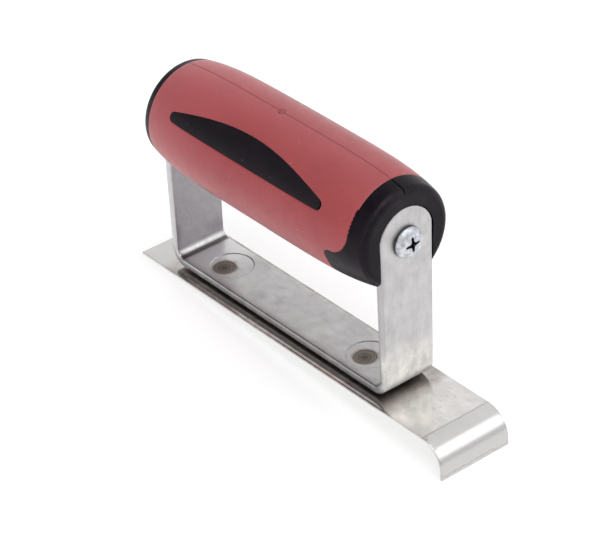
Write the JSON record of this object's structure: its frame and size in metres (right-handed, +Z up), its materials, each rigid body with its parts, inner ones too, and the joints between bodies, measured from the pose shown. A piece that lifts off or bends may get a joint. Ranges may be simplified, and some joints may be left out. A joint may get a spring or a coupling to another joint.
{
  "type": "brick_jointer",
  "caption": "Hand jointing tool: flat steel blade with a turned-down lip, spot-welded under a U-shaped steel strap that carries a two-tone barrel grip.",
  "frame": {"origin": "on the blade's flat underside, below the middle of the bracket and handle", "axes": "+X along the blade towards the turned-down lip; +Y across the blade; +Z up from the blade towards the handle"},
  "size_m": [0.1696, 0.0442, 0.0983],
  "materials": {
    "blade_steel": "bright, brushed lengthwise",
    "bracket_steel": "satin, lightly mottled",
    "weld_metal": "heat-tinted weld metal",
    "core_plastic": "black, fine moulded texture",
    "grip_rubber": "red soft-touch elastomer",
    "insert_brass": "machined",
    "screw_steel": "zinc plated"
  },
  "bodies": {
    "root": {"blade": "blade_steel", "bracket": "bracket_steel", "spot_weld_front": "weld_metal", "spot_weld_rear": "weld_metal", "core_half_left": "core_plastic", "core_half_right": "core_plastic", "grip_sleeve": "grip_rubber", "insert_front": "insert_brass", "insert_rear": "insert_brass", "screw_front": "screw_steel", "screw_rear": "screw_steel"}
  },
  "joints": []
}
